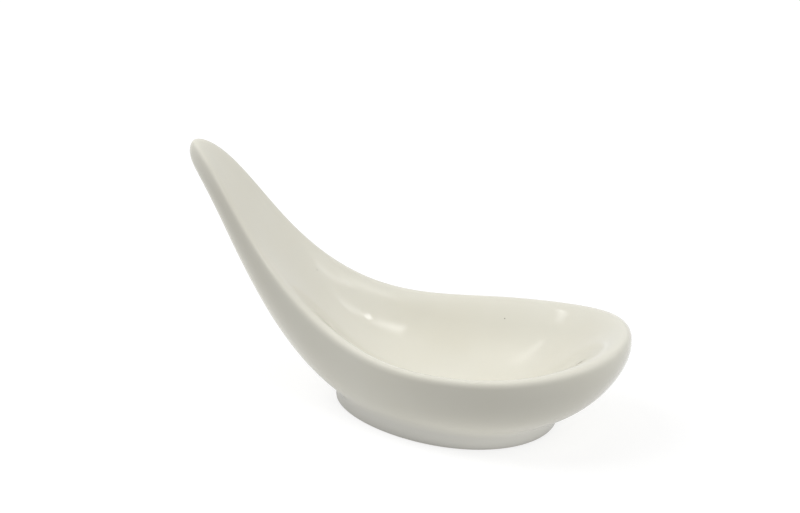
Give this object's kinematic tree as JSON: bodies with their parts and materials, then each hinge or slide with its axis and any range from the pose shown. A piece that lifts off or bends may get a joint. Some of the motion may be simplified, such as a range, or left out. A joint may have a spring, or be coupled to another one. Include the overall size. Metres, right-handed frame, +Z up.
{
  "type": "finger food spoon",
  "caption": "Glazed porcelain finger food spoon: an egg-shaped bowl on a low oval foot, with a handle that sweeps up to a rounded tip.",
  "frame": {"origin": "middle of the spoon's length and width seen from above, on the surface that the foot stands on", "axes": "+X along the length towards the bowl's front lip, with the handle rising towards -X; +Z up; left and right of the XZ plane are mirror images"},
  "size_m": [0.1202, 0.052, 0.0661],
  "materials": {
    "glazed_porcelain": "clear gloss glaze over ivory-white porcelain, with an unglazed ring under the foot"
  },
  "bodies": {
    "root": {"spoon": "glazed_porcelain"}
  },
  "joints": []
}
